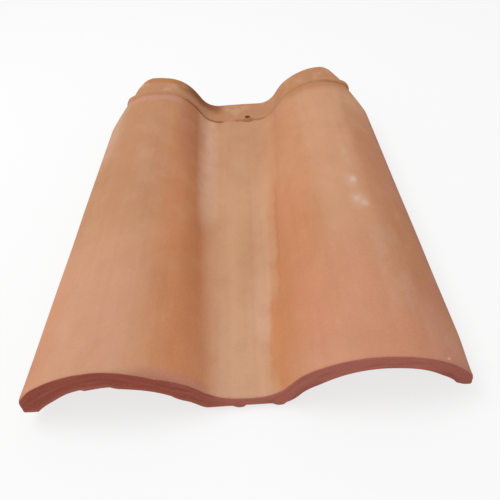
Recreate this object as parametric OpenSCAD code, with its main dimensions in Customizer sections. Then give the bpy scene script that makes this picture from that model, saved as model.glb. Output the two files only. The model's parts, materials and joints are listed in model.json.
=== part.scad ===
// Double-roll clay roof tile: one fired piece with two rolls and a pan between them.
// The section tapers along the tile: the rolls are low and wide at the front edge, so that
// they lap over the narrower, higher rolls at the head of the next tile.
// X runs across the tile, Y from the front edge to the head, Z up from the rib bottoms.

/* [Overall size] */
// Length from the front edge to the head
tile_l = 400; // [340:1:460]
// Width over the two outer edges
tile_w = 263; // [245:1:290]

/* [Section at the front edge] */
// Width of the flat of the pan
front_pan_w = 6; // [4:0.5:14]
// Radius of the hollow between pan and roll
front_hollow_r = 32; // [20:1:38]
// Height of the roll crests above the pan
front_rise = 31; // [26:0.5:36]
// Distance of each crest from the outer edge
front_crest_in = 51.5; // [45:0.5:57]
// Height of the outer edges above the pan
front_edge_z = 11.5; // [8:0.5:16]

/* [Section at the head] */
// Width of the flat of the pan
head_pan_w = 43; // [34:0.5:50]
// Radius of the hollow between pan and roll
head_hollow_r = 23; // [16:1:28]
// Height of the roll crests above the pan
head_rise = 38; // [32:0.5:44]
// Distance of each crest from the outer edge
head_crest_in = 43.5; // [39:0.5:51]
// Height of the outer edges above the pan
head_edge_z = 16; // [12:0.5:20]

/* [Clay wall] */
// Thickness at the roll crests
roll_t = 13.5; // [10:0.5:16]
// Thickness of the pan
pan_t = 8.5; // [7:0.5:12]
// Radius of the bend under each side of the pan
under_r = 14; // [10:0.5:18]
// Width of the flat foot under each outer edge
foot_w = 9; // [6:0.5:12]
// Height of these feet above the rib bottoms
foot_rise = 9.5; // [6:0.5:11]
// Rounding along the top of the outer edges
edge_r = 8; // [6:0.25:9]
// Rounding along the bottom of the outer edges
foot_r = 2; // [1:0.25:3]
// Rounding of the upper edge at both ends of the tile
arris_r = 2; // [1:0.25:3]

/* [Ribs under the pan] */
// Width of each rib
rib_w = 7; // [5:0.5:8]
// Height of each rib
rib_h = 2; // [1:0.25:3]

/* [Head end] */
// Distance of the weather bar from the head end
bar_in = 41; // [30:1:60]
// Width of the weather bar
bar_w = 9; // [6:0.5:12]
// Height of the weather bar
bar_h = 2.5; // [2:0.25:3]
// Length of each cut corner along the side
cut_l = 83; // [60:1:100]
// Width of each cut corner along the head end
cut_w = 33; // [24:1:40]

/* [Nail hole] */
// Diameter of the nail hole
nail_d = 5; // [4:0.1:6]
// Distance of the nail hole from the middle of the pan
nail_x = 9.5; // [7.5:0.5:12]
// Distance of the nail hole in front of the middle of the weather bar
nail_fwd = 1.5; // [0:0.25:2]
// Diameter of the low boss round the nail hole
boss_d = 13; // [10:0.5:16]
// Height of this boss above the pan
boss_h = 3.1; // [3.05:0.05:4]

/* [Hidden] */

clay = "#c5906e";
// Steps along each arc of the section, and along its rounded edges
arc_n = 8;
edge_n = 3;
// Steps along the tile: in its rounded ends, the body and the weather bar
arris_n = 3;
body_n = 9;
bar_n = 6;
// Height of the pan above the rib bottoms, and of the feet against the pan
pan_z = pan_t + rib_h;
foot_z = foot_rise - pan_z;
// Places of the weather bar and the nail hole along the tile, and how far cutters reach past what they cut
bar_y = tile_l - bar_in;
nail_y = bar_y - nail_fwd;
over = 10;
// Middles of the roundings along the outer edges
edge_x = tile_w / 2 - edge_r;
foot_x = tile_w / 2 - foot_r;

// Sizes of the section at share t of the length
function taper(front, head, t) = front + (head - front) * t;
function pan(t) = taper(front_pan_w, head_pan_w, t) / 2;
function hollow_r(t) = taper(front_hollow_r, head_hollow_r, t);
function rise(t) = taper(front_rise, head_rise, t);
function crest_in(t) = taper(front_crest_in, head_crest_in, t);
function crest_x(t) = tile_w / 2 - crest_in(t);
function edge_drop(t) = rise(t) - taper(front_edge_z, head_edge_z, t);

// Radius and angle of an arc that starts level and ends away from its start by a run and a drop
function arc_r(run, drop) = (run * run + drop * drop) / (2 * drop);
function arc_a(run, drop) = atan2(run, arc_r(run, drop) - drop);

// Upper surface: the hollow and the inner roll are tangent arcs, and the outer roll starts at the crest
function bend(t) = arc_a(crest_x(t) - pan(t), rise(t));
function roll_r(t) = arc_r(crest_x(t) - pan(t), rise(t)) - hollow_r(t);
function outer_r(t) = arc_r(crest_in(t), edge_drop(t));
function outer(t) = asin((crest_in(t) - edge_r) / (outer_r(t) - edge_r));
function edge_z(t) = rise(t) - outer_r(t) + (outer_r(t) - edge_r) * cos(outer(t));

// Underside: the inner roll keeps the wall's thickness and bends into the flat under the pan
function under_roll_r(t) = roll_r(t) - roll_t;
function under_up(t) = under_r - pan_t - rise(t) + roll_r(t);
function under_run(t) = sqrt(pow(under_roll_r(t) + under_r, 2) - pow(under_up(t), 2));
function under_bend(t) = atan2(under_run(t), under_up(t));
function under_pan(t) = crest_x(t) - under_run(t);

// Underside: the outer roll runs from the crest down to the foot
function foot_run(t) = crest_in(t) - foot_w;
function foot_drop(t) = rise(t) - roll_t - foot_z;
function under_outer_r(t) = arc_r(foot_run(t), foot_drop(t));
function under_outer(t) = arc_a(foot_run(t), foot_drop(t));

// Points of an arc about [x, z], with angles from straight up
function arc(x, z, r, from, to, first = 0, steps = arc_n) =
    [for (i = [first : steps]) let (a = from + (to - from) * i / steps) [x + r * sin(a), z + r * cos(a)]];

// One side of the upper surface from the pan outwards, raised along its normal by lift
function upper(t, lift) = concat(
    arc(pan(t), hollow_r(t), hollow_r(t) - lift, 180, 180 - bend(t)),
    arc(crest_x(t), rise(t) - roll_r(t), roll_r(t) + lift, -bend(t), 0, 1),
    arc(crest_x(t), rise(t) - outer_r(t), outer_r(t) + lift, 0, outer(t), 1)
);

// The outer edge, round the upper corner and round the foot
function edge(t, lift) = concat(
    arc(edge_x, edge_z(t), edge_r + lift, outer(t), 90, 1, edge_n),
    arc(foot_x, foot_z + foot_r, foot_r, 90, 180, 0, edge_n)
);

// The same side of the underside, from the foot inwards
function under(t) = concat(
    arc(crest_x(t), rise(t) - roll_t - under_outer_r(t), under_outer_r(t), under_outer(t), 0),
    arc(crest_x(t), rise(t) - roll_r(t), under_roll_r(t), 0, -under_bend(t), 1),
    arc(under_pan(t), under_r - pan_t, under_r, 180 - under_bend(t), 180, 1)
);

// Closed section in space at a station, which is a place along the tile and the lift there
function ring(station) = let (
    t = station[0] / tile_l,
    half = concat(upper(t, station[1]), edge(t, station[1]), under(t)),
    y = station[0] - tile_l / 2
) concat(
    [for (p = half) [p[0], y, p[1] + pan_z]],
    [for (i = [len(half) - 1 : -1 : 0]) [-half[i][0], y, half[i][1] + pan_z]]
);

// Stations: rounded front edge, body, weather bar, rounded head
stations = concat(
    [for (i = [0 : arris_n]) let (a = 90 * i / arris_n) [arris_r * (1 - cos(a)), arris_r * (sin(a) - 1)]],
    [for (i = [1 : body_n]) [taper(arris_r, bar_y - bar_w / 2, i / body_n), 0]],
    [for (i = [1 : bar_n]) let (a = 180 * i / bar_n) [bar_y - bar_w / 2 * cos(a), bar_h * sin(a)]],
    [for (i = [0 : arris_n]) let (a = 90 * i / arris_n) [tile_l - arris_r * (1 - sin(a)), arris_r * (cos(a) - 1)]]
);

// The section swept along the stations
module tapered_body() {
    rings = [for (s = stations) ring(s)];
    n = len(rings[0]);
    last = (len(rings) - 1) * n;
    skin = [for (j = [0 : n : last - 1], i = [0 : n - 1]) let (k = (i + 1) % n)
        each [[j + i, j + n + i, j + n + k], [j + i, j + n + k, j + k]]];
    // Each end face is a strip between the upper surface and the underside, with both rounded edges
    half = n / 2;
    m = 3 * arc_n;
    strips = [for (i = [0 : m - 1])
        each [[i, i + 1, half - 2 - i, half - 1 - i], [n - 2 - i, n - 1 - i, half + i, half + 1 + i]]];
    edges = [[for (i = [m : half - 1 - m]) i], [for (i = [m : half - 1 - m]) half + i]];
    front = concat(strips, [[n - 1, 0, half - 1, half]], edges);
    head = [for (f = front) [for (i = [len(f) - 1 : -1 : 0]) last + f[i]]];
    polyhedron(points = [for (r = rings) each r], faces = concat(skin, front, head));
}

// Rib under the pan, from a place at the front edge to one at the head
module rib(x_front, x_head) {
    linear_extrude(pan_z / 2)
        polygon([
            [x_front - rib_w / 2, -tile_l / 2],
            [x_front + rib_w / 2, -tile_l / 2],
            [x_head + rib_w / 2, tile_l / 2],
            [x_head - rib_w / 2, tile_l / 2]
        ]);
}

// Three ribs: one in the middle and one along each edge of the flat under the pan
module ribs() {
    for (side = [-1 : 1])
        rib(side * (under_pan(0) - rib_w / 2), side * (under_pan(1) - rib_w / 2));
}

// Wedge that takes one corner off the head, on the side given by 1 or -1
module corner_cut(side) {
    linear_extrude(pan_z + head_rise + bar_h + over)
        polygon([
            [side * tile_w / 2, tile_l / 2 - cut_l],
            [side * (tile_w / 2 - cut_w), tile_l / 2],
            [side * (tile_w / 2 - cut_w), tile_l / 2 + over],
            [side * (tile_w / 2 + over), tile_l / 2 + over],
            [side * (tile_w / 2 + over), tile_l / 2 - cut_l]
        ]);
}

module roof_tile() {
    color(clay)
        difference() {
            union() {
                tapered_body();
                ribs();
                translate([nail_x, nail_y - tile_l / 2, pan_z / 2])
                    cylinder(h = pan_z / 2 + boss_h, d = boss_d, $fn = 48);
            }
            corner_cut(1);
            corner_cut(-1);
            translate([nail_x, nail_y - tile_l / 2, -over])
                cylinder(h = pan_z + boss_h + 2 * over, d = nail_d, $fn = 32);
        }
}

roof_tile();
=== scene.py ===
import json
import math
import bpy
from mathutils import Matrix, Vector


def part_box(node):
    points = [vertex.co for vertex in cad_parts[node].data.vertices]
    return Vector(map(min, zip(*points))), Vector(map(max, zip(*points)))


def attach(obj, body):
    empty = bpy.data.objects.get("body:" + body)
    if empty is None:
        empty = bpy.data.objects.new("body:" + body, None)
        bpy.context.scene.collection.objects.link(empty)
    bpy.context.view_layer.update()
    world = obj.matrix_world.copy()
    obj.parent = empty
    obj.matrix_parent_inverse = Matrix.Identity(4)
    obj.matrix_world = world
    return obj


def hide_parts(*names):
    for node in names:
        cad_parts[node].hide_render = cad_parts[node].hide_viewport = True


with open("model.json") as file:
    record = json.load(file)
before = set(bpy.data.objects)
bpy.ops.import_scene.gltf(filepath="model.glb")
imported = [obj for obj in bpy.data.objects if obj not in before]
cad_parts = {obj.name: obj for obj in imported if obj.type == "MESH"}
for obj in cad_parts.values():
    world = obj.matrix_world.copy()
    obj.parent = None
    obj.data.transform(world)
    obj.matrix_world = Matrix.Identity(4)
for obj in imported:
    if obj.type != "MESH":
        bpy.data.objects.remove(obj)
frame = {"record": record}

from types import SimpleNamespace

import bmesh
import bpy
import numpy as np
from mathutils import Matrix, Vector

bl_info = {
    "name": "Clay Roof Tile",
    "version": (1, 0, 0),
    "blender": (4, 5, 0),
    "location": "View3D > Sidebar > Roof Tile",
    "description": "Shapes and finishes a double-roll clay roof tile and sets a plain studio round it",
    "category": "Object",
}

# One millimetre in metres: the shape and the patterns of the clay are worked out in millimetres
MM = 0.001

# The tile's box, from the frame: X across, Y from front edge to head, Z up from the rib bottoms
NODE = "roof_tile"
LOW, HIGH = (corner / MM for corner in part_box(NODE))
HALF_W = HIGH.x
FRONT_Y = LOW.y
HEAD_Y = HIGH.y
TILE_L = HEAD_Y - FRONT_Y

# Sizes of the section, at the front edge and at the head
PAN_W = (6, 43)
HOLLOW_R = (32, 23)
RISE = (31, 38)
CREST_IN = (51.5, 43.5)
EDGE_Z = (11.5, 16)

# The clay wall and the ribs under the pan
ROLL_T = 13.5
PAN_T = 8.5
UNDER_R = 14
FOOT_W = 9
FOOT_RISE = 9.5
RIB_W = 7
RIB_H = 2
PAN_Z = PAN_T + RIB_H
FOOT_Z = FOOT_RISE - PAN_Z

# The head end: weather bar and how far it sticks out at the sides, cut corners,
# the boss of the nail hole with the flat share of its width, and the facets of the hole
BAR_IN = 41
BAR_Y = HEAD_Y - BAR_IN
BAR_W = 9
BAR_OVER = 2.5
CUT_L = 83
CUT_W = 33
BOSS_D = 13
BOSS_H = 2.6
BOSS_FLAT = 0.6
NAIL_SIDES = 40

# Roundings: of the plan's corners, along the sides and under them, of the head,
# and of the lower edges at both ends
FRONT_CORNER_R = 0.8
HEAD_CORNER_R = 10
SIDE_R = 6
FOOT_R = 3
HEAD_R = 2
LOWER_R = 0.5
# How far the head end falls short of its left corner: places across and distances
HEAD_SHORT = ((-98.5, 0), (50, 4.5), (68, 6.8), (98.5, 7.8))
# How far the sides stand out towards the head: side, where along the tile this sets in
# and is full, and its size
HEAD_SPREAD = ((-1, 163, 180, 2), (1, 150, 165, 1.7))
# How the left roll is fuller towards the head: place across, half-width and height,
# and where along the tile this sets in and is full
FULL_ROLL = (-58, 26, 2.2)
FULL_FROM, FULL_AT = 40, 150

# Columns of the mesh between the lines that the section follows, from the middle outwards
UPPER_COLUMNS = (12, 16, 24, 24)
UNDER_COLUMNS = (4, 7, 8, 13, 22, 20, 2)
# Steps in each rounded edge, rows in the body, across the bar and behind it,
# and loops in the outer wall
ROUND_STEPS = 6
BODY_ROWS = 168
BAR_ROWS = 24
STRIP_ROWS = 14
WALL_LOOPS = 5
# Least width of a column, where the cut corners crowd them
LEAST_STEP = 0.1
# Least distance to divide by, right at the corners
LEAST_GAP = 0.001

# How much of the worn arris the upper front edge has: places across and shares
ARRIS = (
    (-131, 0.8), (-123, 0.3), (-80, 0.25), (-50, 1), (-32, 0.35),
    (0, 0.4), (22, 0.3), (118, 0.3), (131, 0.8),
)
# How far the upper side dips towards the front edge: places across and depths
FRONT_DIP = ((-20, 0), (0, 0.8), (22, 2.6), (34, 0.5), (60, 2.2), (85, 3.1))
DIP_REACH = 30
# Burrs that the cutting wire left along the lower front edge: where each starts,
# how far it runs out, and its drop
BURRS = ((-91, 15, 1.4), (-73, 26, 1.6), (-40, 7, 1))
BURR_START = 1
BURR_REACH = 6
# Where the wall is uneven towards the front edge: place across, half-width,
# and how much lower its underside is
UNEVEN_WALL = (
    (-127, 14, 0.9), (-112, 13, 1.2), (-82, 12, 0.5), (-56, 30, 1), (-30, 7, -1.8),
    (34, 12, -1.6), (108, 24, -1.2), (120, 8, -1.2), (129, 8, 1),
)
UNEVEN_REACH = 150
# The ribs: side, how far out of line at the front edge, and the share of their height
# that is smeared away there
RIBS = ((-1, 0, 1), (0, -3.6, 0), (1, 2.5, 0))
SMEAR_REACH = 50
# Stretch of the weather bar that is nearly worn away: place across and half-width,
# the share of its height that is gone there, and its unevenness elsewhere
WORN_BAR = (-11, 7)
BAR_WEAR = 0.9
BAR_UNEVEN = 0.08
# Waves of unevenness: their lengths in two directions, and the seed that they start from
BAR_WAVES = (30, 1, 3)
PRESS_WAVES = (14, 700, 5)
FIRING_WAVES = (150, 220, 8)
UNDER_WAVES = (120, 160, 21)
CUT_WAVES = (22, 9, 30)

# Length over which the red of the cuts fades along the sides, and how far it reaches
# round their edges
CUT_FADE = 8
CUT_ROUND = 1
# Distances from the outline between which the wear of the edges fades
WEAR_FULL, WEAR_END = 1, 7

# Place of the camera, its turns in degrees, which are its heading to the left, tilt downwards
# and roll to the right, and its lens
CAMERA_PLACE = (17.74, -388.3, 277.3)
CAMERA_HEADING = 2.034
CAMERA_TILT = 39.63
CAMERA_ROLL = 5.443
CAMERA_LENS = 38.98

# The studio, in metres: reach of the floor, and place and size of the lamp
FLOOR_REACH = 4
KEY_PLACE = (-0.6, 0.1, 1.25)
KEY_SIZE = 0.7
# Share of the paper's look that is plain white
PAPER_GLOW = 0.75

# Skin of the clay: range of its roughness, its index of refraction and specular level,
# and the strength and depth of the grain's relief
ROUGHNESS = (0.7, 0.9)
CLAY_IOR = 1.45
CLAY_SPECULAR = 0.15
GRAIN_STRENGTH = 0.5
GRAIN_DEPTH = 0.3

# Sockets of the colour form of the Mix node
MIX_A, MIX_B, MIX_RESULT = 6, 7, 2


def linear(code):
    """Scene-linear red, green and blue of an sRGB hex colour."""
    shares = [int(code[i:i + 2], 16) / 255 for i in (1, 3, 5)]
    return [c / 12.92 if c <= 0.04045 else ((c + 0.055) / 1.055) ** 2.4 for c in shares]


def colour_setting(name, description, code):
    """A colour that a user can change, with its default as an sRGB hex value."""
    return bpy.props.FloatVectorProperty(
        name=name, description=description, subtype="COLOR", size=3, min=0, max=1, default=linear(code))


def length_setting(name, description, size):
    """A length that a user can change, with its default in millimetres."""
    return bpy.props.FloatProperty(
        name=name, description=description, unit="LENGTH", min=0, default=size * MM)


class ClayTileSettings(bpy.types.PropertyGroup):
    """Sizes of the tile's fine relief, and the tones of its clay."""

    bar_height: length_setting("Bar height", "Height of the weather bar where it isn't worn", 2.3)
    arris: length_setting("Worn arris", "Rounding of the upper front edge where it is most worn", 6)
    press_marks: length_setting("Press marks", "Depth of the marks that run along the tile", 0.08)
    unevenness: length_setting("Unevenness", "Height of the broad waves that firing leaves", 0.25)
    body: colour_setting("Body", "Weathered clay over most of the upper side", "#cb9774")
    brown: colour_setting("Brown", "Browner clay on the left roll and at the head", "#ba8763")
    # Partly dark clay, and partly painted shade on the left roll's inner side, which faces away from the
    # lamp, and along its rounded rear edge
    umber_and_shade: colour_setting("Umber", "Dark clay, mostly low on the left roll's inner side", "#b57748")
    pink: colour_setting("Pink", "Paler, pinker clay near the front edge", "#cc967a")
    # Partly warmer clay, and partly painted warm light on the right roll's inner side, which faces the
    # lamp
    orange_and_warm_light: colour_setting("Orange", "Warmer clay on the steep inner sides of the rolls", "#ca875c")
    # Partly brighter clay, and partly painted light on the right roll's outer side near the front, which
    # faces away from the lamp
    salmon_and_light: colour_setting("Salmon", "Brighter clay near the front of the right roll", "#d29172")
    # Partly weathered clay, and partly painted shade on the right roll's outer side, which faces away
    # from the lamp
    dusky_and_shade: colour_setting("Dusky", "Weathered clay on the outer side of the right roll", "#bd805f")
    # Greyer, pinker clay, and a painted sheen in front of the weather bar on the left roll
    mauve_and_sheen: colour_setting("Mauve", "Greyer, pinker clay, mostly by the edges and the bar", "#bd8070")
    sand: colour_setting("Sand", "Washed clay in the pan", "#ca9b77")
    # White salts, and a faint painted sheen in front of the weather bar on the left roll
    dust: colour_setting("Dust", "Pale dust beside the left roll and in the pan", "#d8ac90")
    salts_and_sheen: colour_setting("Salts", "White salts, mostly by the crest of the right roll", "#e3cabd")
    # Painted shade: the dark line at the weather bar's foot, the nail hole and the shadow of its boss,
    # and the left roll's inner side behind the bar
    painted_shade: colour_setting("Stain", "Dark stain by the weather bar and the nail hole", "#8a4f2e")
    shade: colour_setting("Shade", "Darker blotches, press marks and grain", "#a06a48")
    worn: colour_setting("Worn", "Pale clay on worn edges, in blotches and in the grain", "#dcae92")
    raw: colour_setting("Raw", "Redder clay of the cut ends", "#9e5141")
    soot: colour_setting("Soot", "Darker drag marks on the cut ends", "#7f3c31")
    chalk: colour_setting("Chalk", "Paler, greyer clay on parts of the cut ends", "#ba7164")
    under: colour_setting("Underside", "Clay of the underside", "#b87458")


class TileStageSettings(bpy.types.PropertyGroup):
    """Light and floor of the studio."""

    key_power: bpy.props.FloatProperty(
        name="Key light", description="Power of the soft lamp on the left",
        unit="POWER", min=0, default=9)
    sky: bpy.props.FloatProperty(
        name="Sky", description="Strength of the even light from all round",
        min=0, max=2, default=0.6)
    floor: colour_setting("Floor", "Plain pale floor", "#f2f2f2")


def smooth(low, high, value):
    """Share of the way from low to high, eased at both ends."""
    share = np.clip((value - low) / (high - low), 0, 1)
    return share * share * (3 - 2 * share)


def hump(value, middle, half_width):
    """1 at the middle, eased to 0 at half_width from it."""
    return 1 - smooth(0, half_width, np.abs(value - middle))


def ripple(x, y, across, along, seed, waves=14):
    """Smooth seeded unevenness, mostly between -1 and 1, in waves of about these lengths."""
    draw = np.random.default_rng(seed)
    total = np.zeros(np.broadcast(x, y).shape)
    for _ in range(waves):
        turn_x, turn_y = draw.normal(0, 1, 2)
        start = draw.uniform(0, math.tau)
        total += np.cos(math.tau * (turn_x * x / across + turn_y * y / along) + start)
    return total / math.sqrt(waves)


def near_front(y, reach):
    """1 at the front edge, eased to 0 at this reach behind it."""
    return 1 - smooth(0, reach, y - FRONT_Y)


def taper(ends, y):
    """Size at a place along the tile, from its sizes at the front edge and at the head."""
    return ends[0] + (ends[1] - ends[0]) * (y - FRONT_Y) / TILE_L


def arc_r(run, drop):
    """Radius of an arc that starts level and ends away from its start by a run and a drop."""
    return (run ** 2 + drop ** 2) / (2 * drop)


def arc_height(radius, offset):
    """Height of an arc above its centre, at an offset across from the centre."""
    return np.sqrt(np.maximum(radius ** 2 - offset ** 2, 0))


def section(y):
    """Sizes of the section at a place along the tile."""
    sizes = SimpleNamespace()
    sizes.pan = taper(PAN_W, y) / 2
    sizes.hollow_r = taper(HOLLOW_R, y)
    sizes.rise = taper(RISE, y)
    sizes.crest_in = taper(CREST_IN, y)
    sizes.crest_x = HALF_W - sizes.crest_in
    sweep = arc_r(sizes.crest_x - sizes.pan, sizes.rise)
    sizes.roll_r = sweep - sizes.hollow_r
    sizes.outer_r = arc_r(sizes.crest_in, sizes.rise - taper(EDGE_Z, y))
    # The steepest line of each side, where the hollow beside the pan meets the roll
    sizes.steep_x = sizes.pan + sizes.hollow_r * (sizes.crest_x - sizes.pan) / sweep
    sizes.under_roll_r = sizes.roll_r - ROLL_T
    up = UNDER_R - PAN_T - sizes.rise + sizes.roll_r
    run = np.sqrt((sizes.under_roll_r + UNDER_R) ** 2 - up ** 2)
    sizes.under_pan = sizes.crest_x - run
    sizes.under_steep_x = sizes.under_pan + UNDER_R * run / (sizes.under_roll_r + UNDER_R)
    sizes.under_outer_r = arc_r(sizes.crest_in - FOOT_W, sizes.rise - ROLL_T - FOOT_Z)
    return sizes


def upper_z(x, y):
    """Height of the plain upper surface above the floor."""
    sizes = section(y)
    x = np.abs(x)
    hollow = sizes.hollow_r - arc_height(sizes.hollow_r, np.maximum(x - sizes.pan, 0))
    inner = sizes.rise - sizes.roll_r + arc_height(sizes.roll_r, x - sizes.crest_x)
    outer = sizes.rise - sizes.outer_r + arc_height(sizes.outer_r, x - sizes.crest_x)
    return PAN_Z + np.where(x < sizes.steep_x, hollow, np.where(x < sizes.crest_x, inner, outer))


def under_z(x, y):
    """Height of the underside above the floor, with its ribs."""
    sizes = section(y)
    off = np.abs(x)
    bend = UNDER_R - PAN_T - arc_height(UNDER_R, np.maximum(off - sizes.under_pan, 0))
    inner = sizes.rise - sizes.roll_r + arc_height(sizes.under_roll_r, off - sizes.crest_x)
    top = sizes.rise - ROLL_T
    outer = top - sizes.under_outer_r + arc_height(sizes.under_outer_r, off - sizes.crest_x)
    roll = np.where(off < sizes.crest_x, inner, np.where(off < HALF_W - FOOT_W, outer, FOOT_Z))
    return PAN_Z + np.where(off < sizes.under_steep_x, bend, roll) - rib_drop(x, y)


def rib_drop(x, y):
    """How far the three half-round ribs hang below the pan."""
    drop = np.zeros(x.shape)
    for side, drift, smear in RIBS:
        place = side * (section(y).under_pan - RIB_W / 2) + drift * near_front(y, UNEVEN_REACH)
        height = RIB_H * (1 - smear * near_front(y, SMEAR_REACH))
        drop = np.maximum(drop, height * arc_height(1, np.minimum(np.abs(x - place) / (RIB_W / 2), 1)))
    return drop


def straight_side_x(y):
    """Half-width of the plan, with the cut corners and the bar's ends but no rounded corners."""
    cut = CUT_W * np.clip((y - HEAD_Y + CUT_L) / CUT_L, 0, 1)
    return HALF_W - cut + BAR_OVER * hump(y, BAR_Y, BAR_W / 2)


def side_x(y):
    """Half-width of the plan with its corners rounded at both ends."""
    radius = np.where(y < 0, FRONT_CORNER_R, HEAD_CORNER_R)
    missing = np.maximum(radius - np.minimum(y - FRONT_Y, HEAD_Y - y), 0)
    return straight_side_x(y) - radius + arc_height(radius, missing)


def outline_gaps(x, y):
    """Distances from the side, from the nearer end and from the outline with its rounded corners."""
    side = np.maximum(straight_side_x(y) - np.abs(x), 0)
    end = np.minimum(y - FRONT_Y, HEAD_Y - y)
    radius = np.where(y < 0, FRONT_CORNER_R, HEAD_CORNER_R)
    corner = radius - np.hypot(radius - side, radius - end)
    in_corner = (side < radius) & (end < radius)
    return side, end, np.maximum(np.where(in_corner, corner, np.minimum(side, end)), 0)


def rounding(x, y, side_r, end_r):
    """How far the rounded edges fall away from a sheet, with radii along the sides and at the ends."""
    side, end, near = outline_gaps(x, y)
    radius = (side_r * end + end_r * side) / np.maximum(side + end, LEAST_GAP)
    return radius - arc_height(radius, np.maximum(radius - near, 0))


def rows():
    """Places of the mesh's rows along the tile, closer in the rounded ends and across the bar."""
    turn = np.linspace(0, math.pi / 2, ROUND_STEPS, endpoint=False)
    rounded = SIDE_R * (1 - np.cos(turn))
    marks = (FRONT_Y + SIDE_R, BAR_Y - BAR_W, BAR_Y + BAR_W, HEAD_Y - SIDE_R)
    return np.concatenate([
        FRONT_Y + rounded,
        spread(marks, (BODY_ROWS, BAR_ROWS, STRIP_ROWS)),
        HEAD_Y - rounded[::-1],
    ])


def spread(marks, counts):
    """Values that run from mark to mark in these counts of steps."""
    steps = np.concatenate([[0], np.cumsum(counts)])
    return np.interp(np.arange(steps[-1] + 1), steps, marks)


def columns(y, lines, counts):
    """Places across the tile at each row, in steps between lines along the tile."""
    turn = np.linspace(0, math.pi / 2, ROUND_STEPS + 1)[1:]
    room = LEAST_STEP * np.cumsum([0, *counts[::-1]])[::-1]
    halves = []
    for marks, side in zip(np.stack(lines, axis=1), side_x(y)):
        marks = np.minimum([0, *marks, side], side - SIDE_R - room)
        halves.append(np.concatenate([spread(marks, counts), side - SIDE_R * (1 - np.sin(turn))]))
    half = np.array(halves)
    return np.concatenate([-half[:, :0:-1], half], axis=1)


def bar_lift(x, y, height):
    """Height of the weather bar and of the boss round the nail hole above the plain surface."""
    # The bar is as high square to a slope as on the flat, so it is higher when measured upright
    lean = np.hypot(1, upper_z(x + 0.5, y) - upper_z(x - 0.5, y))
    uneven = 1 - BAR_UNEVEN + BAR_UNEVEN * ripple(x, 0, *BAR_WAVES)
    wear = (1 - BAR_WEAR * hump(x, *WORN_BAR)) * uneven
    bar = height * wear * lean * np.maximum(1 - ((y - BAR_Y) / (BAR_W / 2)) ** 2, 0)
    nail = nail_hole()
    from_nail = np.hypot(x - nail.x, y - nail.y)
    boss = BOSS_H * (1 - smooth(BOSS_FLAT, 1, from_nail / (BOSS_D / 2)))
    return np.maximum(bar, boss)


def upper_sheet(y, settings):
    """Points of the upper side, with bar and boss, press marks, firing waves and worn edges."""
    sizes = section(y)
    x = columns(y, (sizes.pan, sizes.steep_x, sizes.crest_x), UPPER_COLUMNS)
    y = np.broadcast_to(y[:, None], x.shape)
    z = upper_z(x, y) + bar_lift(x, y, settings.bar_height / MM)
    z += settings.press_marks / MM * ripple(x, y, *PRESS_WAVES)
    z += settings.unevenness / MM * ripple(x, y, *FIRING_WAVES)
    place, half_width, height = FULL_ROLL
    z += height * hump(x, place, half_width) * smooth(FULL_FROM, FULL_AT, y)
    z -= np.interp(x, *zip(*FRONT_DIP)) * near_front(y, DIP_REACH)
    front_r = settings.arris / MM * np.interp(x, *zip(*ARRIS))
    z -= rounding(x, y, SIDE_R, np.where(y < 0, front_r, HEAD_R))
    return np.stack([x, y, np.minimum(z, HIGH.z)], axis=-1)


def under_sheet(y, settings):
    """Points of the underside, with its ribs, its burrs along the front and its rounded edges."""
    sizes = section(y)
    foot = np.full_like(y, HALF_W - FOOT_W)
    rib = np.full_like(y, RIB_W / 2)
    lines = (rib, sizes.under_pan - RIB_W, sizes.under_pan, sizes.under_steep_x, sizes.crest_x, foot)
    x = columns(y, lines, UNDER_COLUMNS)
    y = np.broadcast_to(y[:, None], x.shape)
    z = under_z(x, y)
    for start, run, drop in BURRS:
        shape = smooth(start - BURR_START, start, x) * (1 - smooth(start, start + run, x))
        z -= drop * shape * near_front(y, BURR_REACH)
    for place, half_width, drop in UNEVEN_WALL:
        z -= drop * hump(x, place, half_width) * near_front(y, UNEVEN_REACH)
    z += settings.unevenness / MM * (1 + ripple(x, y, *UNDER_WAVES)) / 2
    z += rounding(x, y, FOOT_R, LOWER_R)
    return np.stack([x, y, np.maximum(z, 0)], axis=-1)


def wall(upper, under, settings):
    """Loops of points between the borders of the two sheets, pushed in where the ends are rough."""
    shares = np.arange(1, WALL_LOOPS + 1) / (WALL_LOOPS + 1)
    loops = upper + (under - upper) * shares[:, None, None]
    x, y, z = np.moveaxis(loops, -1, 0)
    rough = settings.unevenness / MM * (1 + ripple(x + y, z, *CUT_WAVES))
    push = np.clip(rough, 0, 1) * np.sin(math.pi * shares)[:, None]
    at_end = np.minimum(y - FRONT_Y, HEAD_Y - y) < FRONT_CORNER_R / 2
    loops[..., 1] -= np.where(at_end, np.sign(y) * push, 0)
    return loops


def nail_hole():
    """Place and radius of the nail hole, from the record's mount of that name."""
    for mount in frame["record"]["mounts"]:
        if mount["name"] == "nail_hole":
            x, y, _ = mount["pos_m"]
            return SimpleNamespace(x=x / MM, y=y / MM, r=mount["dims"]["r_mm"])
    raise RuntimeError("the record has no mount named nail_hole")


def quads(a, b):
    """Faces between two arrays of points that follow each other row by row."""
    return np.stack([a[:-1], b[:-1], b[1:], a[1:]], axis=-1).reshape(-1, 4)


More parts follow.
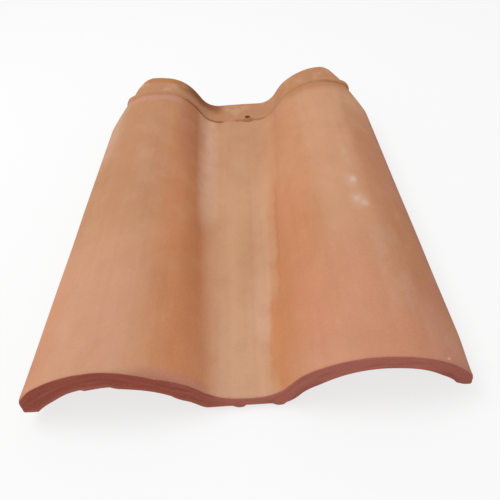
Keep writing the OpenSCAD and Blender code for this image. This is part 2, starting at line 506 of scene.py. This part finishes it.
def tile_mesh(settings):
    """The tile as one closed mesh: two sheets, and the wall between their borders."""
    y = rows()
    upper = upper_sheet(y, settings)
    under = under_sheet(y, settings)
    shape = upper.shape[:2]
    grid = np.arange(shape[0] * shape[1]).reshape(shape)
    below = grid + grid.size
    border = np.concatenate([grid[0, :-1], grid[:-1, -1], grid[-1, :0:-1], grid[:0:-1, 0]])
    loops = wall(upper.reshape(-1, 3)[border], under.reshape(-1, 3)[border], settings)
    middle = 2 * grid.size + np.arange(loops.shape[0] * loops.shape[1]).reshape(loops.shape[:2])
    rings = np.concatenate([border[None], middle, border[None] + grid.size])
    faces = np.concatenate([
        quads(grid[:, :-1], grid[:, 1:]),
        quads(below[:, 1:], below[:, :-1]),
        quads(np.roll(rings, -1, axis=1), rings),
    ])
    points = np.concatenate([part.reshape(-1, 3) for part in (upper, under, loops)])
    mesh = bpy.data.meshes.new("fired_clay_tile")
    mesh.from_pydata((skewed(points) * MM).tolist(), [], faces.tolist())
    mesh.shade_smooth()
    mark_zones(mesh, points, grid.size)
    return mesh


def skewed(points):
    """The points with the head end out of square, as it was cut, and its sides standing out."""
    x, y, z = points.T
    half = straight_side_x(HEAD_Y)
    nearer = np.interp(x, *zip(*HEAD_SHORT)) * smooth(BAR_Y - 2 * BAR_W, HEAD_Y, y)
    out = np.zeros(len(points))
    for side, start, full, size in HEAD_SPREAD:
        out += side * size * smooth(start, full, y) * smooth(0, half, side * x)
    return np.stack([x + out, y - nearer, z], axis=-1)


def mark_zones(mesh, points, sheet):
    """Stores what the tones follow: places across, along and down the cuts, edges and underside."""
    x, y, _ = points.T
    sizes = section(y)
    off = np.abs(x)
    inner = 1 + (off - sizes.steep_x) / (sizes.crest_x - sizes.steep_x)
    outer = 2 + (off - sizes.crest_x) / sizes.crest_in
    roll = np.where(off < sizes.crest_x, inner, outer)
    zone = np.where(off < sizes.steep_x, off / sizes.steep_x, roll)
    place = np.arange(len(points))
    below = (place >= sheet) & (place < 2 * sheet)
    near = outline_gaps(x, y)[2]
    on_wall = 1 + (place - 2 * sheet) // ((len(points) - 2 * sheet) / WALL_LOOPS)
    # The ends and the head's corners were cut, and the long sides keep the skin of the upper side
    corner_y = HEAD_Y - CUT_L
    trimmed = np.maximum(near_front(y, CUT_FADE), smooth(corner_y - CUT_FADE, corner_y, y))
    zones = {
        "across": np.sign(x) * zone,
        "along": y,
        "cut": trimmed * np.where(place >= 2 * sheet, 1, 1 - smooth(0, CUT_ROUND, near)),
        "depth": np.where(place < sheet, 0, np.where(below, 1, on_wall / (WALL_LOOPS + 1))),
        "edge": np.where(place < sheet, 1 - smooth(WEAR_FULL, WEAR_END, near), 0),
        "underside": below,
    }
    for name, values in zones.items():
        stored = mesh.attributes.new(name, "FLOAT", "POINT")
        stored.data.foreach_set("value", values.astype(np.float32))


def drill(piece, x, y, radius):
    """Cuts an upright round hole right through a piece."""
    bit = bpy.data.meshes.new("nail_bit")
    shape = bmesh.new()
    place = Matrix.Translation((x * MM, y * MM, 0))
    bmesh.ops.create_cone(
        shape, cap_ends=True, segments=NAIL_SIDES, radius1=radius * MM, radius2=radius * MM,
        depth=4 * HIGH.z * MM, matrix=place)
    shape.to_mesh(bit)
    shape.free()
    cutter = bpy.data.objects.new("nail_bit", bit)
    bpy.context.scene.collection.objects.link(cutter)
    cut = piece.modifiers.new("nail_hole", "BOOLEAN")
    cut.object = cutter
    cut.solver = "EXACT"
    solid = piece.data
    evaluated = piece.evaluated_get(bpy.context.evaluated_depsgraph_get())
    piece.data = bpy.data.meshes.new_from_object(evaluated)
    piece.data.name = piece.name
    piece.modifiers.clear()
    bpy.data.objects.remove(cutter)
    bpy.data.meshes.remove(bit)
    bpy.data.meshes.remove(solid)


def add(tree, kind, inputs, output=0, **settings):
    """Adds a node with its settings and inputs, which are values or links, and gives one output."""
    node = tree.nodes.new(kind)
    for name, value in settings.items():
        setattr(node, name, value)
    for socket, value in inputs.items():
        if isinstance(value, bpy.types.NodeSocket):
            tree.links.new(value, node.inputs[socket])
        else:
            node.inputs[socket].default_value = value
    return node.outputs[output] if node.outputs else node


# Cloudy patterns in the clay, by the sizes of their features along X, Y and Z in millimetres
PATTERNS = {
    "clouds": (70, 130, 70),
    "blotches": (16, 24, 16),
    "streaks": (5, 220, 40),
    "specks": (4, 4, 4),
    # Real grit is about 0.5 mm, and it is drawn coarser so that it shows
    "grain": (1.8, 1.8, 1.8),
}

# How fine the patterns break up
DETAIL = 3
# How far lines along the tile wander, on the scale of the place across
WANDER = 0.1
# Marks of the cutting wire, about 20 mm long and a quarter of the wall high
WIRE_SCALE = (2, 4, 1)

# Stretches along the foot of the weather bar, where the painted shade of its dark line lies
BAR_FOOT = (("along", 152, 153.6), ("along", 156, 154.8))
# The faces of the cuts
CUT_FACE = ("cut", 0.2, 0.8)

# Layers of tone over the body, each with its strength and the ranges in which it sets in or fades.
# Across is -3 and 3 at the sides, -2 and 2 at the crests, and -1 and 1 at the steepest lines.
# Along is in millimetres from the middle, and positive towards the head.
# Depth is 0 at the upper edge of a cut and 1 at its lower edge.
LAYERS = (
    # Kiln and weather, and painted shade on its inner side: the left roll
    ("brown", 0.95, ("across", -0.7, -1.4), ("along", -150, 0)),
    ("pink", 0.8, ("across", -1.4, -1.9), ("along", -60, -150)),
    ("orange_and_warm_light", 0.35, ("across", -2.5, -2.9), ("along", -60, -140)),
    ("orange_and_warm_light", 0.9, ("across", -1.85, -1.25), ("across", -0.8, -1.05), ("along", 170, 60)),
    # Partly painted shade on the left roll's inner side, which faces away from the lamp
    ("umber_and_shade", 0.6, ("across", -1.55, -1.2), ("across", -0.9, -1.05), ("along", -70, 90)),
    ("umber_and_shade", 0.4, ("across", -1.3, -1.14), ("across", -0.95, -1.05), ("along", -200, -90)),
    ("mauve_and_sheen", 0.3, ("across", -1.5, -1.3), ("across", -1.05, -1.15),
     ("along", 10, 70), ("along", 150, 120)),
    ("orange_and_warm_light", 0.3, ("across", -1.05, -0.95), ("across", -0.45, -0.8), ("along", -80, -140)),
    ("salts_and_sheen", 0.3, ("across", -2.4, -2.9), ("along", 10, 100)),
    # The pan, the sharp line along its right side, and painted warm light on the right roll's inner side
    ("sand", 0.9, ("across", -0.7, -0.5), ("across", 0.95, 0.65)),
    ("brown", 0.4, ("across", -0.7, -0.5), ("across", 0.9, 0.6), ("along", 0, 110)),
    # Partly painted warm light on the right roll's inner side, which faces the lamp
    ("orange_and_warm_light", 0.5, ("across", 0.5, 0.95), ("across", 1.75, 1.25), ("along", 250, 0)),
    ("orange_and_warm_light", 0.8, ("wander", 0.81, 0.88), ("across", 1.75, 1.25), ("along", 10, -100)),
    ("orange_and_warm_light", 0.8, ("wander", 0.6, 0.68), ("wander", 0.94, 0.88),
     ("along", -110, -135), ("along", -200, -175)),
    ("umber_and_shade", 0.35, ("wander", 0.84, 0.89), ("wander", 0.98, 0.91),
     ("along", 30, 0), ("along", -150, -100)),
    # The right roll, with painted shade on its outer side and painted light near its front
    ("salmon_and_light", 0.75, ("across", 1, 1.4), ("across", 2.7, 2.3), ("along", -60, -150)),
    ("pink", 0.4, ("across", 0.9, 1.2), ("across", 2.5, 2.2), ("along", -165, -190)),
    # Painted light on the right roll's outer side near the front, which faces away from the lamp
    ("salmon_and_light", 0.7, ("across", 1.6, 1.9), ("across", 2.8, 2.5), ("along", -160, -188)),
    # Partly painted shade on the right roll's outer side, which faces away from the lamp
    ("dusky_and_shade", 0.9, ("across", 2.1, 2.6), ("along", 130, 40)),
    ("mauve_and_sheen", 0.7, ("across", 2.75, 2.95), ("along", 120, 60)),
    ("umber_and_shade", 0.2, ("across", 2.3, 2.6), ("along", -40, -90), ("along", -160, -130)),
    ("mauve_and_sheen", 0.8, ("across", 2.3, 2.8), ("along", -120, -180)),
    ("pink", 0.45, ("across", 2.4, 2.6), ("along", -145, -180)),
    ("mauve_and_sheen", 0.5, ("across", 2.4, 2.6), ("along", -185, -197)),
    ("umber_and_shade", 0.25, ("across", 2.6, 2.85), ("along", -130, -150), ("along", -192, -175)),
    ("salmon_and_light", 0.6, ("across", 1.8, 2.1), ("across", 2.75, 2.55), ("along", -165, -188)),
    ("brown", 0.5, ("across", 2.2, 2.4), ("across", 2.8, 2.5),
     ("along", 115, 95), ("along", 50, 75)),
    # Dust in the valley beside the left roll and towards the front of the pan
    ("dust", 0.5, ("across", -1.09, -0.97), ("wander", -0.5, -0.75), ("along", -60, -15)),
    ("dust", 0.7, ("across", -1.09, -0.97), ("wander", -0.5, -0.8), ("along", -50, 0),
     ("blotches", 0.3, 0.55)),
    ("dust", 0.35, ("across", 0.2, 0.45), ("wander", 0.74, 0.62),
     ("along", 10, -30), ("along", -170, -140)),
    ("dust", 0.4, ("across", 0, 0.3), ("wander", 0.75, 0.6),
     ("along", -60, -110), ("along", -170, -140)),
    ("pink", 0.5, ("across", -1, -0.6), ("across", 0.6, 0.3), ("along", -180, -196)),
    ("dust", 0.3, ("across", -0.9, -0.6), ("across", 0.65, 0.45), ("along", -90, -165)),
    # The strip behind the weather bar, a painted sheen in front of the bar on the left roll,
    # the dark line of painted shade along the bar's foot with its gap, and painted shade
    # round the nail hole, on the left roll's inner side behind the bar and along its rear edge
    ("brown", 0.9, ("along", 150, 160)),
    ("worn", 0.25, ("along", 158, 168), ("blotches", 0.5, 0.35)),
    # Painted sheen in front of the weather bar on the left roll
    ("mauve_and_sheen", 0.4, ("across", -0.9, -1.4), ("along", 138, 149), ("along", 156, 151)),
    ("salts_and_sheen", 0.1, ("across", -1.2, -1.6), ("along", 138, 147), ("along", 155, 149)),
    ("brown", 0.8, ("across", 1, 1.5), ("along", 130, 148), ("along", 160, 157)),
    ("umber_and_shade", 0.4, ("across", 0.9, 1.6), ("along", 138, 150), ("along", 157, 155)),
    ("umber_and_shade", 0.3, ("across", 0.5, 0.9), ("along", 158, 166)),
    ("mauve_and_sheen", 0.4, ("across", -1.2, -1.5), *BAR_FOOT),
    # Painted shade: the dark line where shade falls at the foot of the weather bar
    ("painted_shade", 0.75, ("across", -1.5, -1.2), ("across", -0.38, -0.48), *BAR_FOOT),
    ("painted_shade", 0.5, ("across", -0.14, -0.06), ("across", 0.8, 0.6), *BAR_FOOT),
    ("painted_shade", 0.5, ("across", 1.9, 2.3), *BAR_FOOT),
    # Painted shade in the mouth of the nail hole, and the painted shadow in front of its boss
    ("painted_shade", 0.8, ("from_nail", 4.2, 2.8)),
    ("painted_shade", 0.6, ("from_nail", 4.8, 6), ("from_nail", 8, 7), ("along", 154, 152.5)),
    # Painted shade on the left roll's inner side behind the bar, which faces away from the lamp
    ("painted_shade", 1, ("across", -1.7, -1.1), ("across", -0.3, -0.7), ("along", 166, 190)),
    # Painted shade along the left roll's rounded rear edge, where it curves away from the light
    ("umber_and_shade", 0.8, ("across", -1.1, -1.4), ("along", 182, 190), ("along", 199, 196)),
    # Broad clouds, faint marks along the tile and blotches
    ("brown", 0.3, ("clouds", 0.5, 0.7)),
    ("worn", 0.12, ("clouds", 0.48, 0.3)),
    ("shade", 0.1, ("blotches", 0.5, 0.7)),
    ("worn", 0.1, ("blotches", 0.48, 0.3)),
    ("shade", 0.08, ("streaks", 0.52, 0.75)),
    ("worn", 0.08, ("streaks", 0.46, 0.25)),
    # White salts by the crest of the right roll: small spots with a faint rim, and faint patches
    ("salts_and_sheen", 0.17, ("across", 1.93, 2.08), ("across", 2.28, 2.12),
     ("along", -15, -27), ("along", -46, -33)),
    ("salts_and_sheen", 0.5, ("across", 2.07, 2.14), ("across", 2.23, 2.15),
     ("along", -23, -28), ("along", -35, -30)),
    ("salts_and_sheen", 0.17, ("across", 1.95, 2.1), ("across", 2.36, 2.18),
     ("along", -42, -54), ("along", -72, -60)),
    ("salts_and_sheen", 0.3, ("across", 2.04, 2.11), ("across", 2.2, 2.12),
     ("along", -50, -54), ("along", -61, -56)),
    ("salts_and_sheen", 0.3, ("across", 2.14, 2.22), ("across", 2.32, 2.24),
     ("along", -55, -59), ("along", -66, -61)),
    ("salts_and_sheen", 0.15, ("across", 2, 2.1), ("across", 2.3, 2.15),
     ("along", 32, 12), ("along", -16, 0), ("blotches", 0.35, 0.65)),
    ("salts_and_sheen", 0.13, ("across", 2.1, 2.3), ("across", 2.65, 2.45),
     ("along", -75, -95), ("along", -178, -150), ("blotches", 0.35, 0.6)),
    # Worn edges, flecks along the front, the underside, and the cut ends
    ("worn", 0.15, ("edge", 0.3, 1), ("across", 1, 0), ("along", 150, 140), ("blotches", 0.4, 0.6)),
    ("mauve_and_sheen", 0.7, ("across", -1.8, -1.4), ("across", -0.7, -0.95), ("along", -191, -198)),
    ("worn", 0.9, ("edge", 0.1, 0.5), ("along", -150, -190), ("specks", 0.66, 0.72)),
    ("under", 1, ("underside", 0.4, 0.6)),
    ("raw", 1, CUT_FACE),
    ("chalk", 0.75, CUT_FACE, ("across", -1.3, -0.2)),
    ("chalk", 0.4, CUT_FACE, ("depth", 0.7, 0.95)),
    ("chalk", 0.3, CUT_FACE, ("wire", 0.52, 0.7)),
    ("soot", 0.35, CUT_FACE, ("wire", 0.5, 0.32)),
    ("soot", 0.25, CUT_FACE, ("across", 2.3, 2.8)),
    # Grit
    ("shade", 0.12, ("grain", 0.55, 0.75)),
    ("worn", 0.12, ("grain", 0.45, 0.28)),
)


def fired_clay(settings):
    """Terracotta: red clay, pressed wet into shape and fired without a glaze.

    The eye sees a matt, chalky skin with broad cloudy tones from kiln and weather, faint marks
    along the tile from the press, fine grain, white salts on a crest, and redder clay at the cuts,
    with painted light, shade and sheen on the rolls, by the weather bar and round the nail hole.
    """
    material = bpy.data.materials.new("fired_terracotta")
    material.use_nodes = True
    tree = material.node_tree
    tree.nodes.clear()
    metres = add(tree, "ShaderNodeTexCoord", {}, "Object")
    place = add(tree, "ShaderNodeVectorMath", {0: metres, "Scale": 1 / MM}, operation="SCALE")
    sources = {}
    nail = nail_hole()
    flat = add(tree, "ShaderNodeVectorMath", {0: place, 1: (1, 1, 0)}, operation="MULTIPLY")
    sources["from_nail"] = add(
        tree, "ShaderNodeVectorMath", {0: flat, 1: (nail.x, nail.y, 0)}, "Value", operation="DISTANCE")
    for name in ("across", "along", "cut", "depth", "edge", "underside"):
        sources[name] = add(tree, "ShaderNodeAttribute", {}, "Fac", attribute_name=name)
    for name, sizes in PATTERNS.items():
        scale = [1 / size for size in sizes]
        scaled = add(tree, "ShaderNodeMapping", {"Vector": place, "Scale": scale})
        sources[name] = add(tree, "ShaderNodeTexNoise", {"Vector": scaled, "Scale": 1, "Detail": DETAIL})
    # The place across, with its lines wandering a little, as the real ones do
    wander = add(tree, "ShaderNodeMapRange", {
        "Value": sources["blotches"], "To Min": -WANDER, "To Max": WANDER})
    sources["wander"] = add(tree, "ShaderNodeMath", {0: sources["across"], 1: wander}, operation="ADD")
    # Marks that the cutting wire dragged along the ends
    drag = add(tree, "ShaderNodeCombineXYZ", {"X": sources["across"], "Y": sources["depth"]})
    wire = add(tree, "ShaderNodeMapping", {"Vector": drag, "Scale": WIRE_SCALE})
    sources["wire"] = add(tree, "ShaderNodeTexNoise", {"Vector": wire, "Scale": 1, "Detail": DETAIL})

    tone = (*settings.body, 1)
    for name, strength, *ranges in LAYERS:
        share = strength
        for source, start, full in ranges:
            span = {"Value": sources[source], "From Min": start, "From Max": full}
            reach = add(tree, "ShaderNodeMapRange", span, interpolation_type="SMOOTHSTEP")
            share = add(tree, "ShaderNodeMath", {0: share, 1: reach}, operation="MULTIPLY")
        colour = (*getattr(settings, name), 1)
        mixed = {0: share, MIX_A: tone, MIX_B: colour}
        tone = add(tree, "ShaderNodeMix", mixed, MIX_RESULT, data_type="RGBA")

    smoothest, roughest = ROUGHNESS
    rough = add(tree, "ShaderNodeMapRange", {
        "Value": sources["blotches"], "To Min": smoothest, "To Max": roughest})
    relief = add(tree, "ShaderNodeBump", {
        "Height": sources["grain"], "Strength": GRAIN_STRENGTH, "Distance": GRAIN_DEPTH * MM})
    skin = add(tree, "ShaderNodeBsdfPrincipled", {
        "Base Color": tone, "Roughness": rough, "Normal": relief,
        "IOR": CLAY_IOR, "Specular IOR Level": CLAY_SPECULAR})
    add(tree, "ShaderNodeOutputMaterial", {"Surface": skin})
    return material


def studio_paper(colour):
    """Plain matt paper, which the camera sees as nearly white, with the tile's soft shadow on it."""
    material = bpy.data.materials.new("studio_paper")
    material.use_nodes = True
    tree = material.node_tree
    tree.nodes.clear()
    seen = seen_rays(tree)
    glow = add(tree, "ShaderNodeMath", {0: seen, 1: PAPER_GLOW}, operation="MULTIPLY")
    paper = add(tree, "ShaderNodeBsdfDiffuse", {"Color": (*colour, 1)})
    white = add(tree, "ShaderNodeEmission", {"Color": (1, 1, 1, 1), "Strength": 1})
    mixed = add(tree, "ShaderNodeMixShader", {0: glow, 1: paper, 2: white})
    add(tree, "ShaderNodeOutputMaterial", {"Surface": mixed})
    return material


def seen_rays(tree):
    """1 for rays seen by the camera, straight or in a reflection, and 0 for rays that light the tile."""
    kinds = add(tree, "ShaderNodeLightPath", {}).node.outputs
    seen = kinds["Is Camera Ray"]
    for name in ("Is Glossy Ray", "Is Transmission Ray"):
        seen = add(tree, "ShaderNodeMath", {0: seen, 1: kinds[name]}, operation="MAXIMUM")
    return seen


class ROOFTILE_OT_shape_tile(bpy.types.Operator):
    """Shape the tile from its section and finish it as fired clay"""

    bl_idname = "rooftile.shape_tile"
    bl_label = "Shape Tile"

    def execute(self, context):
        settings = context.scene.clay_tile
        piece = bpy.data.objects.new("fired_clay_tile", tile_mesh(settings))
        context.scene.collection.objects.link(piece)
        nail = nail_hole()
        drill(piece, nail.x, nail.y, nail.r)
        piece.data.materials.clear()
        piece.data.materials.append(fired_clay(settings))
        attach(piece, "root")
        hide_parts(NODE)
        return {"FINISHED"}


class ROOFTILE_OT_set_stage(bpy.types.Operator):
    """Set a pale floor, soft light and the camera round the tile"""

    bl_idname = "rooftile.set_stage"
    bl_label = "Set Stage"

    def execute(self, context):
        settings = context.scene.tile_stage
        set_floor(context.scene, settings)
        set_light(context.scene, settings)
        set_camera(context.scene)
        context.scene.view_settings.view_transform = "Standard"
        return {"FINISHED"}


def set_floor(scene, settings):
    """A wide level floor under the tile."""
    mesh = bpy.data.meshes.new("studio_floor")
    corners = [(x * FLOOR_REACH, y * FLOOR_REACH, 0) for x, y in ((-1, -1), (1, -1), (1, 1), (-1, 1))]
    mesh.from_pydata(corners, [], [range(len(corners))])
    mesh.materials.append(studio_paper(settings.floor))
    floor = bpy.data.objects.new("studio_floor", mesh)
    scene.collection.objects.link(floor)


def set_light(scene, settings):
    """Even light from all round, and a broad soft lamp high on the left."""
    scene.world = bpy.data.worlds.new("studio_sky")
    scene.world.use_nodes = True
    tree = scene.world.node_tree
    tree.nodes.clear()
    strength = add(tree, "ShaderNodeMapRange", {
        "Value": seen_rays(tree), "To Min": settings.sky, "To Max": 1})
    sky = add(tree, "ShaderNodeBackground", {"Color": (1, 1, 1, 1), "Strength": strength})
    add(tree, "ShaderNodeOutputWorld", {"Surface": sky})
    lamp = bpy.data.lights.new("key_light", "AREA")
    lamp.energy = settings.key_power
    lamp.size = KEY_SIZE
    key = bpy.data.objects.new("key_light", lamp)
    key.location = KEY_PLACE
    key.rotation_euler = (-key.location).to_track_quat("-Z", "Y").to_euler()
    scene.collection.objects.link(key)


def set_camera(scene):
    """The camera in front of the tile, looking down on it."""
    camera = bpy.data.objects.new("camera", bpy.data.cameras.new("camera"))
    camera.data.lens = CAMERA_LENS
    turns = (("Z", CAMERA_HEADING), ("X", -CAMERA_TILT), ("Y", CAMERA_ROLL), ("X", 90))
    stance = Matrix.Translation(Vector(CAMERA_PLACE) * MM)
    for axis, degrees in turns:
        stance = stance @ Matrix.Rotation(math.radians(degrees), 4, axis)
    camera.matrix_world = stance
    scene.collection.objects.link(camera)
    scene.camera = camera


class ROOFTILE_PT_panel(bpy.types.Panel):
    """Settings and steps of the roof tile"""

    bl_idname = "ROOFTILE_PT_panel"
    bl_label = "Clay Roof Tile"
    bl_space_type = "VIEW_3D"
    bl_region_type = "UI"
    bl_category = "Roof Tile"

    def draw(self, context):
        for settings, step in ((context.scene.clay_tile, ROOFTILE_OT_shape_tile),
                               (context.scene.tile_stage, ROOFTILE_OT_set_stage)):
            for name in settings.__annotations__:
                self.layout.prop(settings, name)
            self.layout.operator(step.bl_idname)


CLASSES = (
    ClayTileSettings,
    TileStageSettings,
    ROOFTILE_OT_shape_tile,
    ROOFTILE_OT_set_stage,
    ROOFTILE_PT_panel,
)


def register():
    for cls in CLASSES:
        bpy.utils.register_class(cls)
    bpy.types.Scene.clay_tile = bpy.props.PointerProperty(type=ClayTileSettings)
    bpy.types.Scene.tile_stage = bpy.props.PointerProperty(type=TileStageSettings)


def unregister():
    del bpy.types.Scene.tile_stage
    del bpy.types.Scene.clay_tile
    for cls in reversed(CLASSES):
        bpy.utils.unregister_class(cls)


def main():
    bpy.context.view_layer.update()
    register()
    bpy.ops.rooftile.shape_tile()
    bpy.ops.rooftile.set_stage()


if __name__ == "__main__":
    main()
